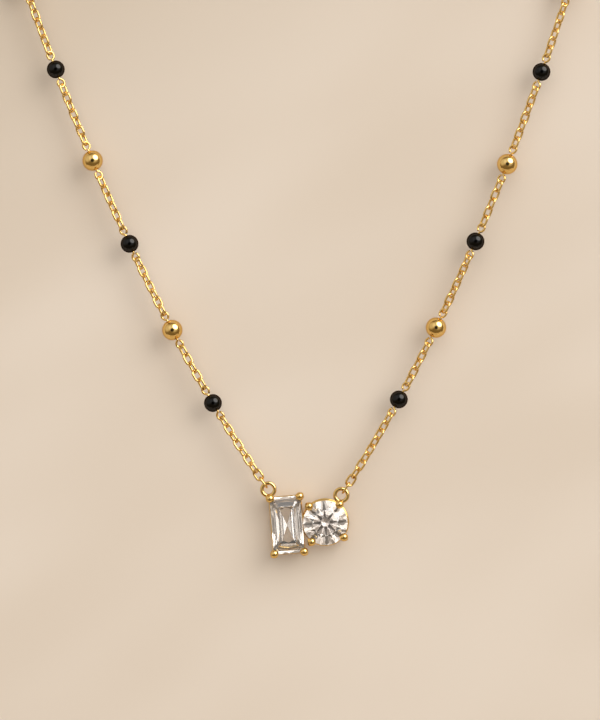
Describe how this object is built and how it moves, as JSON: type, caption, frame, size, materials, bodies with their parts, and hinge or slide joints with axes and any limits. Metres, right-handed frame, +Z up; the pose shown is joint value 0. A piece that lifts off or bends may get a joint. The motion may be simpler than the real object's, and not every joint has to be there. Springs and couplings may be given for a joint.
{
  "type": "mangalsutra necklace",
  "caption": "Fine gold cable-chain necklace with black beads and gold balls by turns, and a small pendant of two claw-set stones hung from two rings.",
  "frame": {"origin": "middle of the chain on top of the nape, where the closed clasp sits", "axes": "+Z up, -Y to the front, where the stones face, and +X to the right as seen from the front"},
  "size_m": [0.1016, 0.0036, 0.1948],
  "materials": {
    "gold": "polished yellow gold",
    "black_bead": "polished black glass",
    "stone": "clear colourless cut stone"
  },
  "bodies": {
    "necklace": {"chain_left": "gold", "chain_right": "gold", "bead_pins_left": "gold", "bead_pins_right": "gold", "black_bead_left_1": "black_bead", "gold_ball_left_1": "gold", "black_bead_left_2": "black_bead", "gold_ball_left_2": "gold", "black_bead_left_3": "black_bead", "gold_ball_left_3": "gold", "black_bead_right_1": "black_bead", "gold_ball_right_1": "gold", "black_bead_right_2": "black_bead", "gold_ball_right_2": "gold", "black_bead_right_3": "black_bead", "gold_ball_right_3": "gold", "black_beads_back_left": "black_bead", "gold_balls_back_left": "gold", "black_beads_back_right": "black_bead", "gold_balls_back_right": "gold", "back_chain_left": "gold", "back_chain_right": "gold", "clasp": "gold", "clasp_tab_ring": "gold"},
    "pendant": {"setting": "gold", "long_stone": "stone", "round_stone": "stone"}
  },
  "joints": [
    {"name": "pendant_swing", "type": "hinge", "parent": "necklace", "child": "pendant", "pos_m": [-0.00025, 0, -0.18429], "axis": [0.9964, 0, -0.0843], "range_deg": [-50, 50]}
  ]
}
